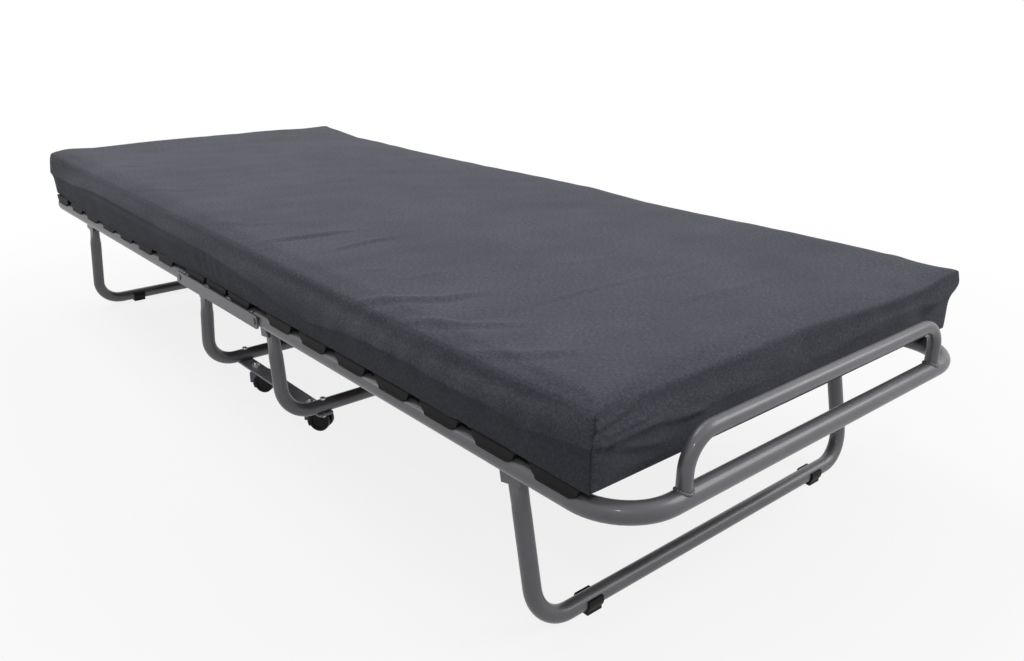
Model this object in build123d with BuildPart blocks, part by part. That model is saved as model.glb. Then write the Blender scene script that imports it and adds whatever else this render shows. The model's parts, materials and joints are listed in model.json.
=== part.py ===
from build123d import *
from math import cos, pi, radians, sin, sqrt, tan
import os

os.makedirs("parts", exist_ok=True)

# A single folding bed that rolls on casters.  X runs along the bed, from the head end
# at -X to the foot end at +X, Y across it and Z up from the floor.  The origin lies on
# the floor below the middle of the bed.  All sizes are in millimetres.

# Overall sizes
bed_height = 380.0
mattress_length = 1900.0
mattress_width = 800.0
mattress_thickness = 100.0
rail_past_mattress = 40.0
mattress_past_tube = 14.0

# Clearances
running_gap = 0.05
piece_gap = 0.3
mattress_gap = 0.5
swing_gap = 0.6
overrun = 20.0

# Main tube of the frame
tube_d = 28.0
tube_wall = 1.5
frame_bend_r = 78.0

# Hinges between the centre section and the two halves
hinge_x = 157.0
hinge_pin_r = 4.0
hinge_head_r = 6.0
hinge_head_thickness = 2.0
half_tube_end_inset = 0.5
hinge_plate_height = 24.0
hinge_plate_thickness = 3.0
hinge_plate_past_hinge = 12.0
hinge_plate_corner_r = 6.0

# Slats
slat_width = 68.0
slat_thickness = 8.0
slat_edge_r = 2.0
slat_past_tube = 8.0
slats_per_half = 7
first_slat_past_hinge = 80.3
last_slat_to_rail = 100.5
centre_slats = 3
centre_slat_to_hinge = 65.8

# Slat holders that sit on the side tubes
cap_floor = 1.5
cap_roof = 2.0
cap_wall = 2.2
cap_past_slat = 8.0
cap_skirt_slope = 14.5
cap_end_wall = 2.3
cap_reach = 40.0
cap_inner_skirt = 8.0
cap_shoulder_r = 3.0
cap_skirt = 8.6

# Leg tubes, flattened where they meet the frame
leg_d = 25.0
leg_wall = 1.5
leg_bend_r = 55.0
leg_side_gap = 1.5
leg_flat_thickness = 17.0
leg_flat_length = 38.0
leg_taper_length = 24.0
leg_pin_below_tube = 2.0
end_leg_to_rail = 206.0
end_leg_lean = 12.0
centre_leg_to_hinge = 21.8
centre_leg_lean = 7.7

# Brackets and pins that carry the legs
bracket_sheet = 2.5
bracket_below_pin = 26.0
bracket_above_pin = 18.0
bracket_inboard = 20.0
bridge_start = 1.0
leg_pin_r = 4.0
leg_pin_head_r = 5.0
leg_pin_head_thickness = 2.0
gusset_thickness = 3.0
gusset_outboard = 4.0
gusset_rivet_r = 3.0
gusset_rivet_spacing = 14.0

# Plastic glides on the end legs
glide_floor = 3.3
glide_wall = 3.0
glide_length = 27.0
glide_to_tube = 119.0
glide_foot_width = 24.0
glide_foot_height = 9.0
glide_arm_rise = 7.0

# Carrying handle at the foot end
handle_d = 20.0
handle_wall = 1.5
handle_post_to_tube = 96.0
handle_rise = 78.0
handle_bend_r = 45.0

# Flat bars that carry the casters
caster_bar_width = 30.0
caster_bar_thickness = 4.0
caster_bar_to_tube = 101.0
caster_bar_past_leg = 13.0
caster_bar_corner_r = 4.0
bar_bolt_r = 3.0
bar_bolt_head_r = 5.5
bar_bolt_head_height = 3.5
bar_nut_width = 10.0
bar_nut_height = 5.0
bar_bolt_tip = 2.0

# Casters
caster_above_wheel = 6.0
caster_to_hinge = 45.0
caster_trail = 20.0
caster_turn = 35.0
caster_stem_r = 4.0
caster_flange_r = 8.0
caster_flange_height = 2.0
caster_stem_depth = 11.0
caster_stem_tip = 3.0
caster_nut_width = 13.0
caster_nut_height = 6.5
wheel_r = 20.0
wheel_width = 10.0
wheel_edge_r = 1.5
wheel_dish_r = 13.5
wheel_dish_depth = 1.5
wheel_skin = 2.0
hood_web = 7.0
hood_shell = 2.2
hood_boss_r = 8.0
hood_bottom = 9.0
hood_front = 8.0
hood_top_r = 4.0
axle_r = 2.5

# Mattress form
crown = 5.0
top_edge_drop = 12.0
top_edge_inset = 11.0
side_top_inset = 2.5
side_bottom_inset = 6.0
side_ridge_share = 0.48
side_bulge = 1.5
bottom_edge_r = 8.0
mattress_corner_r = 25.0
corner_past_ridge = 1.0
mattress_split_past_hinge = 28.0

# Places worked out from the sizes above
tube_r = tube_d / 2
leg_r = leg_d / 2
side_y = mattress_width / 2 - mattress_past_tube
rail_x = mattress_length / 2 + rail_past_mattress
leg_y = side_y - tube_r - leg_side_gap - leg_flat_thickness / 2
mattress_bottom = bed_height - mattress_thickness
cap_top = mattress_bottom - mattress_gap
slat_top = cap_top - cap_roof
slat_bottom = slat_top - slat_thickness
tube_top = slat_bottom - cap_floor
tube_z = tube_top - tube_r
half_tube_start = hinge_x - tube_r + half_tube_end_inset
centre_tube_end = hinge_x - tube_r - swing_gap
hinge_seat_r = sqrt((tube_r + swing_gap) ** 2 + tube_r**2)
first_slat_x = hinge_x + first_slat_past_hinge
slat_pitch = (rail_x - last_slat_to_rail - first_slat_x) / (slats_per_half - 1)
centre_slat_pitch = (hinge_x - centre_slat_to_hinge) / ((centre_slats - 1) / 2)
cap_length = slat_width + 2 * cap_past_slat
cap_skirt_length = cap_length - 2 * cap_skirt_slope
cap_knee_length = slat_width + 2 * piece_gap + 2 * cap_end_wall
end_leg_x = rail_x - end_leg_to_rail
centre_leg_x = hinge_x - centre_leg_to_hinge
leg_top_z = tube_z - tube_r - leg_pin_below_tube
leg_flat_width = leg_flat_thickness + pi * (leg_d - leg_flat_thickness) / 2
glide_y = side_y - glide_to_tube
handle_post_y = side_y - handle_post_to_tube
caster_bar_y = side_y - caster_bar_to_tube
caster_height = 2 * wheel_r + caster_above_wheel
caster_x = hinge_x - caster_to_hinge
caster_stem_foot = caster_height - caster_stem_depth
end_bar_z = leg_r + glide_floor
centre_bar_z = caster_height + caster_bar_thickness + leg_r
end_bar_x = end_leg_x + (leg_top_z - end_bar_z) * tan(radians(end_leg_lean))
centre_bar_x = centre_leg_x + (leg_top_z - centre_bar_z) * tan(radians(centre_leg_lean))
full_width = 2 * side_y + 2 * tube_d

# Corner points of a four-arc section, as shares of its half width and half thickness
round_shares = (sqrt(2) / 2, sqrt(2) / 2)
flat_shares = (0.65, 0.93)


def finish(builder, name):
    """Labels a finished piece and writes it to its own file."""
    builder.part.label = name
    export_step(builder.part, f"parts/{name}.step")


def mirrored(builder, about):
    """The same piece on the other side of a plane through the origin."""
    with BuildPart() as twin:
        add(mirror(builder.part, about=about, mode=Mode.PRIVATE))
    return twin


def both_sides(builder):
    """A piece on the near side together with its twin on the far side."""
    with BuildPart() as pair:
        add(builder.part)
        add(mirror(builder.part, about=Plane.XZ, mode=Mode.PRIVATE))
    return pair


def cylinder_along_y(x, z, radius, y_from, y_to, mode=Mode.ADD):
    """A round bar that lies across the bed, inside the part that is being built."""
    with BuildSketch(Plane.XZ.offset(-y_to)) as disc:
        with Locations((x, z)):
            Circle(radius)
    extrude(disc.sketch, amount=y_to - y_from, mode=mode)


def four_arc_outline(half_width, half_thickness, shares):
    """A closed outline of four arcs: round, or flattened with blunt rounded edges."""
    u = half_width * shares[0]
    v = half_thickness * shares[1]
    with BuildLine() as outline:
        ThreePointArc((u, -v), (half_width, 0), (u, v))
        ThreePointArc((u, v), (0, half_thickness), (-u, v))
        ThreePointArc((-u, v), (-half_width, 0), (-u, -v))
        ThreePointArc((-u, -v), (0, -half_thickness), (u, -v))
    return outline.edges()


# Frame of one half: a U of round tube, open towards the hinges
def frame_run(radius):
    """A solid round bar that follows the frame of the foot half."""
    with BuildPart() as run:
        with BuildLine(Plane.XY.offset(tube_z)):
            FilletPolyline(
                (half_tube_start, -side_y),
                (rail_x, -side_y),
                (rail_x, side_y),
                (half_tube_start, side_y),
                radius=frame_bend_r,
            )
        with BuildSketch(Plane.YZ.offset(half_tube_start)):
            with Locations((-side_y, tube_z)):
                Circle(radius)
        sweep()
    return run


frame_outer = frame_run(tube_r)
frame_bore = frame_run(tube_r - tube_wall)
with BuildPart() as foot_frame_tube:
    add(frame_outer.part)
    add(frame_bore.part, mode=Mode.SUBTRACT)
    cylinder_along_y(
        hinge_x, tube_z, hinge_pin_r + running_gap, -full_width / 2, full_width / 2, mode=Mode.SUBTRACT
    )
finish(foot_frame_tube, "foot_frame_tube")
head_frame_tube = mirrored(foot_frame_tube, Plane.YZ)
finish(head_frame_tube, "head_frame_tube")

# Centre section: a short tube on each side, its ends hollowed so that the halves can swing
with BuildPart() as near_centre_tube:
    with BuildSketch(Plane.YZ.offset(-centre_tube_end)):
        with Locations((-side_y, tube_z)):
            Circle(tube_r)
            Circle(tube_r - tube_wall, mode=Mode.SUBTRACT)
    extrude(amount=2 * centre_tube_end)
    for end in (-1, 1):
        cylinder_along_y(
            end * hinge_x, tube_z, hinge_seat_r, -full_width / 2, 0, mode=Mode.SUBTRACT
        )
finish(near_centre_tube, "near_centre_tube")
far_centre_tube = mirrored(near_centre_tube, Plane.XZ)
finish(far_centre_tube, "far_centre_tube")

# Outer plates that link the three sections on each side
plate_inner_y = side_y + tube_r + piece_gap
plate_outer_y = plate_inner_y + hinge_plate_thickness
with BuildPart() as near_hinge_plate:
    with BuildSketch(Plane.XZ.offset(plate_inner_y)):
        with Locations((0, tube_z)):
            RectangleRounded(
                2 * (hinge_x + hinge_plate_past_hinge), hinge_plate_height, hinge_plate_corner_r
            )
        with Locations((-hinge_x, tube_z), (hinge_x, tube_z)):
            Circle(hinge_pin_r + running_gap, mode=Mode.SUBTRACT)
    extrude(amount=hinge_plate_thickness)
finish(near_hinge_plate, "near_hinge_plate")
far_hinge_plate = mirrored(near_hinge_plate, Plane.XZ)
finish(far_hinge_plate, "far_hinge_plate")

# Hinge pins with a domed head outside and a flat one inside
hinge_pin_inner_y = side_y - tube_r - piece_gap
with BuildPart() as near_hinge_pins:
    for end in (-1, 1):
        cylinder_along_y(
            end * hinge_x,
            tube_z,
            hinge_pin_r,
            -plate_outer_y - hinge_head_thickness,
            -hinge_pin_inner_y + hinge_head_thickness,
        )
        cylinder_along_y(
            end * hinge_x, tube_z, hinge_head_r, -plate_outer_y - hinge_head_thickness, -plate_outer_y
        )
        cylinder_along_y(
            end * hinge_x,
            tube_z,
            hinge_head_r,
            -hinge_pin_inner_y,
            -hinge_pin_inner_y + hinge_head_thickness,
        )
    head_rims = near_hinge_pins.edges().filter_by(GeomType.CIRCLE).group_by(Axis.Y)[0]
    fillet(head_rims, hinge_head_thickness / 2)
hinge_pins = both_sides(near_hinge_pins)
finish(hinge_pins, "hinge_pins")


# Slats and the plastic holders at their ends
def slat(x):
    with BuildPart() as board:
        with BuildSketch(Plane.XZ.offset(-side_y - slat_past_tube)):
            with Locations((x, slat_bottom + slat_thickness / 2)):
                RectangleRounded(slat_width, slat_thickness, slat_edge_r)
        extrude(amount=2 * (side_y + slat_past_tube))
    return board


def slat_caps(places, tube_room):
    """Holders on both side tubes, hooked over the tube, with skirts that narrow downwards."""
    outer_r = tube_r + piece_gap + cap_wall
    row_start = places[0] - cap_length / 2 - overrun
    row_end = places[-1] + cap_length / 2 + overrun
    with BuildPart() as near_caps:
        with BuildSketch(Plane.YZ.offset(row_start)) as saddle:
            with Locations((-side_y, tube_z)):
                Circle(outer_r)
            with BuildLine():
                Polyline(
                    (-side_y - outer_r * round_shares[0], tube_top),
                    (-side_y - outer_r * round_shares[0], cap_top),
                    (-side_y + cap_reach, cap_top),
                    (-side_y + cap_reach, tube_top + piece_gap),
                    (-side_y, tube_top + piece_gap),
                    (-side_y, tube_z),
                    (-side_y - outer_r * round_shares[0], tube_z),
                    close=True,
                )
            make_face()
            with Locations((-side_y - tube_d, tube_z + cap_skirt)):
                Rectangle(tube_d, tube_d, align=(Align.MIN, Align.MAX), mode=Mode.SUBTRACT)
            with Locations((-side_y, tube_z + cap_inner_skirt)):
                Rectangle(tube_d, tube_d, align=(Align.MIN, Align.MAX), mode=Mode.SUBTRACT)
        extrude(saddle.sketch, amount=row_end - row_start)
        top_edges = near_caps.edges().filter_by(Axis.X).group_by(Axis.Z)[-1].group_by(Axis.Y)[0]
        fillet(top_edges, cap_shoulder_r)
        add(tube_room.part, mode=Mode.SUBTRACT)
        with BuildSketch(Plane.XZ.offset(side_y - cap_reach - overrun)) as outline:
            for x in places:
                with BuildLine():
                    Polyline(
                        (x - cap_skirt_length / 2, tube_z - overrun),
                        (x + cap_skirt_length / 2, tube_z - overrun),
                        (x + cap_skirt_length / 2, tube_z + cap_skirt),
                        (x + cap_knee_length / 2, tube_top),
                        (x + cap_length / 2, cap_top),
                        (x + cap_length / 2, cap_top + overrun),
                        (x - cap_length / 2, cap_top + overrun),
                        (x - cap_length / 2, cap_top),
                        (x - cap_knee_length / 2, tube_top),
                        (x - cap_skirt_length / 2, tube_z + cap_skirt),
                        close=True,
                    )
                make_face()
        extrude(outline.sketch, amount=cap_reach + tube_d + 2 * overrun, mode=Mode.INTERSECT)
        with BuildSketch(Plane.XZ.offset(side_y - cap_reach - overrun)) as pockets:
            for x in places:
                with Locations((x, slat_bottom + slat_thickness / 2)):
                    Rectangle(slat_width + 2 * piece_gap, slat_thickness + 2 * running_gap)
        extrude(
            pockets.sketch,
            amount=cap_reach + overrun + slat_past_tube + piece_gap,
            mode=Mode.SUBTRACT,
        )
    return both_sides(near_caps)


half_places = [first_slat_x + slat_pitch * index for index in range(slats_per_half)]
centre_places = [centre_slat_pitch * (index - (centre_slats - 1) / 2) for index in range(centre_slats)]
for number, place in enumerate(half_places, start=1):
    foot_slat = slat(place)
    finish(foot_slat, f"foot_slat_{number}")
    head_slat = slat(-place)
    finish(head_slat, f"head_slat_{number}")
for number, place in enumerate(centre_places, start=1):
    centre_slat = slat(place)
    finish(centre_slat, f"centre_slat_{number}")

foot_slat_caps = slat_caps(half_places, frame_run(tube_r + piece_gap))
finish(foot_slat_caps, "foot_slat_caps")
head_slat_caps = mirrored(foot_slat_caps, Plane.YZ)
finish(head_slat_caps, "head_slat_caps")
with BuildPart() as centre_tube_room:
    with BuildSketch(Plane.YZ.offset(-hinge_x)):
        with Locations((-side_y, tube_z)):
            Circle(tube_r + piece_gap)
    extrude(amount=2 * hinge_x)
centre_slat_caps = slat_caps(centre_places, centre_tube_room)
finish(centre_slat_caps, "centre_slat_caps")


# Legs: a U of round tube whose tops are flattened and rounded off at the pin
def leg_planes(top_x, lean):
    """The plane of the leg's U and the direction across its side tubes."""
    down = Vector(sin(radians(lean)), 0, -cos(radians(lean)))
    across = Vector(cos(radians(lean)), 0, sin(radians(lean)))
    u_plane = Plane(origin=(top_x, 0, leg_top_z), x_dir=(0, 1, 0), z_dir=-across)
    side_plane = Plane(origin=(top_x, 0, leg_top_z), x_dir=across, z_dir=(0, -1, 0))
    return u_plane, side_plane, down, across


def leg_core(top_x, lean, bar_z, inset, past_top):
    """The leg as one solid bar, every surface moved inwards by the inset."""
    u_plane, side_plane, down, across = leg_planes(top_x, lean)
    length = (leg_top_z - bar_z) / cos(radians(lean))
    round_start = leg_flat_length + leg_taper_length
    bend_r = min(leg_bend_r, length - round_start - piece_gap)
    flat_half = (leg_flat_width / 2 - inset, leg_flat_thickness / 2 - inset)
    with BuildPart() as core:
        with BuildLine(u_plane):
            FilletPolyline(
                (-leg_y, round_start),
                (-leg_y, length),
                (leg_y, length),
                (leg_y, round_start),
                radius=bend_r,
            )
        start = u_plane.from_local_coords((-leg_y, round_start, 0))
        with BuildSketch(Plane(origin=start, x_dir=across, z_dir=down)):
            make_face(four_arc_outline(leg_r - inset, leg_r - inset, round_shares))
        sweep()
        for side in (-1, 1):
            flat_end = u_plane.from_local_coords((side * leg_y, leg_flat_length, 0))
            round_end = u_plane.from_local_coords((side * leg_y, round_start, 0))
            with BuildSketch(Plane(origin=flat_end, x_dir=across, z_dir=down)) as flat_section:
                make_face(four_arc_outline(*flat_half, flat_shares))
            with BuildSketch(Plane(origin=round_end, x_dir=across, z_dir=down)) as round_section:
                make_face(four_arc_outline(leg_r - inset, leg_r - inset, round_shares))
            loft([flat_section.sketch, round_section.sketch])
            extrude(flat_section.sketch, amount=-(leg_flat_length + leg_flat_width / 2 + past_top))
    return core


def u_leg(top_x, lean, bar_z, pins):
    """A hollow leg with its tops rounded off and a pair of holes for each pin."""
    u_plane, side_plane, down, across = leg_planes(top_x, lean)
    outer = leg_core(top_x, lean, bar_z, 0, 0)
    inner = leg_core(top_x, lean, bar_z, leg_wall, overrun)
    with BuildPart() as leg:
        add(outer.part)
        add(inner.part, mode=Mode.SUBTRACT)
        with BuildSketch(side_plane) as corners:
            with Locations((0, leg_flat_width / 2)):
                Rectangle(leg_flat_width + overrun, leg_flat_width)
            Circle(leg_flat_width / 2, mode=Mode.SUBTRACT)
        extrude(corners.sketch, amount=full_width / 2, both=True, mode=Mode.SUBTRACT)
        with BuildSketch(side_plane) as holes:
            for drop, radius in pins:
                with Locations((0, -drop)):
                    Circle(radius + running_gap)
        extrude(holes.sketch, amount=full_width / 2, both=True, mode=Mode.SUBTRACT)
    return leg


rivet_drops = (0, gusset_rivet_spacing)
foot_leg = u_leg(end_leg_x, end_leg_lean, end_bar_z, [(0, leg_pin_r)])
finish(foot_leg, "foot_leg")
head_leg = mirrored(foot_leg, Plane.YZ)
finish(head_leg, "head_leg")

foot_centre_leg = u_leg(
    centre_leg_x, centre_leg_lean, centre_bar_z, [(drop, gusset_rivet_r) for drop in rivet_drops]
)
with BuildPart() as drilled_centre_leg:
    add(foot_centre_leg.part)
    with Locations((centre_bar_x, -caster_bar_y, centre_bar_z), (centre_bar_x, caster_bar_y, centre_bar_z)):
        Cylinder(bar_bolt_r + running_gap, leg_d + overrun, mode=Mode.SUBTRACT)
finish(drilled_centre_leg, "foot_centre_leg")
head_centre_leg = mirrored(drilled_centre_leg, Plane.YZ)
finish(head_centre_leg, "head_centre_leg")

# Brackets of the end legs: two cheeks, a web that stops the leg, and a bridge over its top
cheek_y = leg_y + leg_flat_thickness / 2 + piece_gap
inner_cheek_y = leg_y - leg_flat_thickness / 2 - piece_gap
web_start = leg_flat_width / 2 + piece_gap
bracket_outer_y = cheek_y + bracket_sheet
bracket_inner_y = inner_cheek_y - bracket_sheet
end_planes = leg_planes(end_leg_x, end_leg_lean)
with BuildPart() as near_leg_bracket:
    cheek_plane = end_planes[1].offset(bracket_inner_y)
    with BuildSketch(cheek_plane) as cheek:
        with Locations((-bracket_inboard, -bracket_below_pin)):
            Rectangle(
                bracket_inboard + web_start + bracket_sheet,
                bracket_below_pin + bracket_above_pin,
                align=(Align.MIN, Align.MIN),
            )
    extrude(cheek.sketch, amount=bracket_outer_y - bracket_inner_y)
    with BuildSketch(end_planes[1].offset(inner_cheek_y)) as room:
        with Locations((-bracket_inboard - overrun, -bracket_below_pin - overrun)):
            Rectangle(
                bracket_inboard + overrun + web_start,
                bracket_below_pin + overrun + bracket_above_pin - bracket_sheet,
                align=(Align.MIN, Align.MIN),
            )
        with Locations((-bracket_inboard - overrun, 0)):
            Rectangle(
                bracket_inboard + overrun + bridge_start,
                bracket_above_pin + overrun,
                align=(Align.MIN, Align.MIN),
            )
    extrude(room.sketch, amount=cheek_y - inner_cheek_y, mode=Mode.SUBTRACT)
    with BuildSketch(end_planes[1].offset(bracket_inner_y - overrun)) as pin_hole:
        Circle(leg_pin_r + running_gap)
    extrude(pin_hole.sketch, amount=2 * overrun + bracket_outer_y - bracket_inner_y, mode=Mode.SUBTRACT)
    add(frame_outer.part, mode=Mode.SUBTRACT)
foot_leg_brackets = both_sides(near_leg_bracket)
finish(foot_leg_brackets, "foot_leg_brackets")
head_leg_brackets = mirrored(foot_leg_brackets, Plane.YZ)
finish(head_leg_brackets, "head_leg_brackets")

# Pins on which the end legs swing
with BuildPart() as near_leg_pin:
    pin_spans = (
        (leg_pin_r, bracket_inner_y - leg_pin_head_thickness, bracket_outer_y + leg_pin_head_thickness),
        (leg_pin_head_r, bracket_inner_y - leg_pin_head_thickness, bracket_inner_y),
        (leg_pin_head_r, bracket_outer_y, bracket_outer_y + leg_pin_head_thickness),
    )
    for radius, inner_y, outer_y in pin_spans:
        cylinder_along_y(end_leg_x, leg_top_z, radius, -outer_y, -inner_y)
foot_leg_pins = both_sides(near_leg_pin)
finish(foot_leg_pins, "foot_leg_pins")
head_leg_pins = mirrored(foot_leg_pins, Plane.YZ)
finish(head_leg_pins, "head_leg_pins")

# Gussets below the centre tubes, and the rivets that hold the centre legs to them
centre_planes = leg_planes(centre_leg_x, centre_leg_lean)
with BuildPart() as gusset:
    with BuildSketch(centre_planes[1].offset(cheek_y)) as plate:
        with Locations((-bracket_inboard, -bracket_below_pin)):
            Rectangle(
                bracket_inboard + gusset_outboard,
                bracket_below_pin + bracket_above_pin,
                align=(Align.MIN, Align.MIN),
            )
        for drop in rivet_drops:
            with Locations((0, -drop)):
                Circle(gusset_rivet_r + running_gap, mode=Mode.SUBTRACT)
    extrude(plate.sketch, amount=gusset_thickness)
    with BuildSketch(Plane.YZ) as tube_room:
        with Locations((-side_y, tube_z)):
            Circle(tube_r)
    extrude(tube_room.sketch, amount=rail_x, mode=Mode.SUBTRACT)
foot_gussets = both_sides(gusset)
with BuildPart() as centre_gussets:
    add(foot_gussets.part)
    add(mirror(foot_gussets.part, about=Plane.YZ, mode=Mode.PRIVATE))
finish(centre_gussets, "centre_leg_gussets")

rivet_inner_y = leg_y - leg_flat_thickness / 2
rivet_outer_y = cheek_y + gusset_thickness
with BuildPart() as near_rivets:
    for drop in rivet_drops:
        centre = centre_planes[1].from_local_coords((0, -drop, 0))
        rivet_spans = (
            (gusset_rivet_r, rivet_inner_y - hinge_head_thickness, rivet_outer_y + hinge_head_thickness),
            (leg_pin_head_r, rivet_inner_y - hinge_head_thickness, rivet_inner_y),
            (leg_pin_head_r, rivet_outer_y, rivet_outer_y + hinge_head_thickness),
        )
        for radius, inner_y, outer_y in rivet_spans:
            cylinder_along_y(centre.X, centre.Z, radius, -outer_y, -inner_y)
foot_rivets = both_sides(near_rivets)
with BuildPart() as centre_leg_rivets:
    add(foot_rivets.part)
    add(mirror(foot_rivets.part, about=Plane.YZ, mode=Mode.PRIVATE))
finish(centre_leg_rivets, "centre_leg_rivets")

# Plastic glides clipped round the bars of the end legs
with BuildPart() as foot_glides:
    for side in (-1, 1):
        with BuildSketch(Plane.XZ.offset(side * glide_y - glide_length / 2)) as clip:
            with Locations((end_bar_x, end_bar_z)):
                Circle(leg_r + piece_gap + glide_wall)
            with Locations((end_bar_x, 0)):
                Rectangle(glide_foot_width, glide_foot_height, align=(Align.CENTER, Align.MIN))
            with Locations((end_bar_x, end_bar_z)):
                Circle(leg_r + piece_gap, mode=Mode.SUBTRACT)
            with Locations((end_bar_x, end_bar_z + glide_arm_rise)):
                Rectangle(2 * leg_d, leg_d, align=(Align.CENTER, Align.MIN), mode=Mode.SUBTRACT)
            with Locations((end_bar_x, 0)):
                Rectangle(2 * leg_d, leg_d, align=(Align.CENTER, Align.MAX), mode=Mode.SUBTRACT)
        extrude(clip.sketch, amount=glide_length)
finish(foot_glides, "foot_leg_glides")
head_glides = mirrored(foot_glides, Plane.YZ)
finish(head_glides, "head_leg_glides")

# Handle at the foot end, coped on to the end rail
with BuildPart() as handle:
    with BuildLine(Plane.YZ.offset(rail_x)):
        FilletPolyline(
            (-handle_post_y, tube_z),
            (-handle_post_y, tube_z + handle_rise),
            (handle_post_y, tube_z + handle_rise),
            (handle_post_y, tube_z),
            radius=handle_bend_r,
        )
    with BuildSketch(Plane.XY.offset(tube_z)):
        with Locations((rail_x, -handle_post_y)):
            Circle(handle_d / 2)
            Circle(handle_d / 2 - handle_wall, mode=Mode.SUBTRACT)
    sweep()
    cylinder_along_y(rail_x, tube_z, tube_r, -side_y, side_y, mode=Mode.SUBTRACT)
finish(handle, "handle")

# Flat bars below the centre legs
caster_bar_length = 2 * (centre_bar_x + caster_bar_past_leg)
bar_holes = [(end * centre_bar_x, bar_bolt_r) for end in (-1, 1)]
bar_holes += [(end * caster_x, caster_stem_r) for end in (-1, 1)]
with BuildPart() as near_caster_bar:
    with BuildSketch(Plane.XY.offset(caster_height)):
        with Locations((0, -caster_bar_y)):
            RectangleRounded(caster_bar_length, caster_bar_width, caster_bar_corner_r)
        for x, radius in bar_holes:
            with Locations((x, -caster_bar_y)):
                Circle(radius + running_gap, mode=Mode.SUBTRACT)
    extrude(amount=caster_bar_thickness)
finish(near_caster_bar, "near_caster_bar")
far_caster_bar = mirrored(near_caster_bar, Plane.XZ)
finish(far_caster_bar, "far_caster_bar")

# Bolts through the centre leg bars and the flat bars, and the nuts of bolts and stems
bolt_head_z = centre_bar_z + leg_r
bolt_places = [(x, y) for x in (-centre_bar_x, centre_bar_x) for y in (-caster_bar_y, caster_bar_y)]
bolt_tip_z = caster_height - bar_nut_height - bar_bolt_tip
stem_places = [(x, y) for x in (-caster_x, caster_x) for y in (-caster_bar_y, caster_bar_y)]
with BuildPart() as caster_bar_fasteners:
    with BuildSketch(Plane.XY.offset(bolt_tip_z)) as shanks:
        with Locations(bolt_places):
            Circle(bar_bolt_r)
    extrude(shanks.sketch, amount=bolt_head_z - bolt_tip_z)
    with BuildSketch(Plane.XY.offset(bolt_head_z)) as heads:
        with Locations(bolt_places):
            Circle(bar_bolt_head_r)
    extrude(heads.sketch, amount=bar_bolt_head_height)
    bolt_tops = caster_bar_fasteners.edges().filter_by(GeomType.CIRCLE).group_by(Axis.Z)[-1]
    fillet(bolt_tops, bar_bolt_head_height / 2)
    with BuildSketch(Plane.XY.offset(caster_height - bar_nut_height)) as small_nuts:
        with Locations(bolt_places):
            RegularPolygon(bar_nut_width / 2, 6, major_radius=False)
            Circle(bar_bolt_r + running_gap, mode=Mode.SUBTRACT)
    extrude(small_nuts.sketch, amount=bar_nut_height)
    with BuildSketch(Plane.XY.offset(caster_height + caster_bar_thickness)) as stem_nuts:
        with Locations(stem_places):
            RegularPolygon(caster_nut_width / 2, 6, major_radius=False)
            Circle(caster_stem_r + running_gap, mode=Mode.SUBTRACT)
    extrude(stem_nuts.sketch, amount=caster_nut_height)
finish(caster_bar_fasteners, "caster_bar_fasteners")

# Caster stems, fixed in the flat bars, on which the hoods swivel
stem_top = caster_height + caster_bar_thickness + caster_nut_height + caster_stem_tip
with BuildPart() as caster_stems:
    with BuildSketch(Plane.XY.offset(caster_stem_foot)) as shafts:
        with Locations(stem_places):
            Circle(caster_stem_r)
    extrude(shafts.sketch, amount=stem_top - caster_stem_foot)
    with BuildSketch(Plane.XY.offset(caster_height - caster_flange_height)) as flanges:
        with Locations(stem_places):
            Circle(caster_flange_r)
    extrude(flanges.sketch, amount=caster_flange_height)
finish(caster_stems, "caster_stems")


# Caster hoods with their axles, and pairs of wheels
def caster_hood(x, y):
    axle_x = x + caster_trail
    shell_r = wheel_r + piece_gap + hood_shell
    half_width = hood_web / 2 + piece_gap + wheel_width
    hood_top = caster_height - caster_flange_height - piece_gap
    with BuildPart() as hood:
        with BuildSketch(Plane.XZ.offset(-y - half_width)) as side:
            with Locations((axle_x, wheel_r)):
                Circle(shell_r)
            with Locations((x - hood_boss_r, wheel_r)):
                Rectangle(caster_trail + hood_boss_r, hood_top - wheel_r, align=(Align.MIN, Align.MIN))
            with Locations((axle_x + hood_front, 0)):
                Rectangle(2 * shell_r, 2 * shell_r, align=(Align.MIN, Align.MIN), mode=Mode.SUBTRACT)
            with Locations((axle_x, hood_bottom)):
                Rectangle(4 * shell_r, 2 * shell_r, align=(Align.CENTER, Align.MAX), mode=Mode.SUBTRACT)
        extrude(side.sketch, amount=2 * half_width)
        upper_corner = hood.edges().filter_by(Axis.Y).group_by(Axis.Z)[-1].sort_by(Axis.X)[:1]
        fillet(upper_corner, hood_top_r)
        for edge_y in (y - half_width, y + hood_web / 2):
            cylinder_along_y(
                axle_x, wheel_r, wheel_r + piece_gap, edge_y, edge_y + half_width - hood_web / 2, mode=Mode.SUBTRACT
            )
        cylinder_along_y(axle_x, wheel_r, axle_r + running_gap, y - half_width, y + half_width, mode=Mode.SUBTRACT)
        with BuildSketch(Plane.XY.offset(caster_stem_foot - piece_gap)) as bore:
            with Locations((x, y)):
                Circle(caster_stem_r + running_gap)
        extrude(bore.sketch, amount=caster_height, mode=Mode.SUBTRACT)
    return hood


def caster_axle(x, y):
    half_length = hood_web / 2 + piece_gap + wheel_width - wheel_skin - piece_gap
    with BuildPart() as axle:
        cylinder_along_y(x + caster_trail, wheel_r, axle_r, y - half_length, y + half_length)
    return axle


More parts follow.
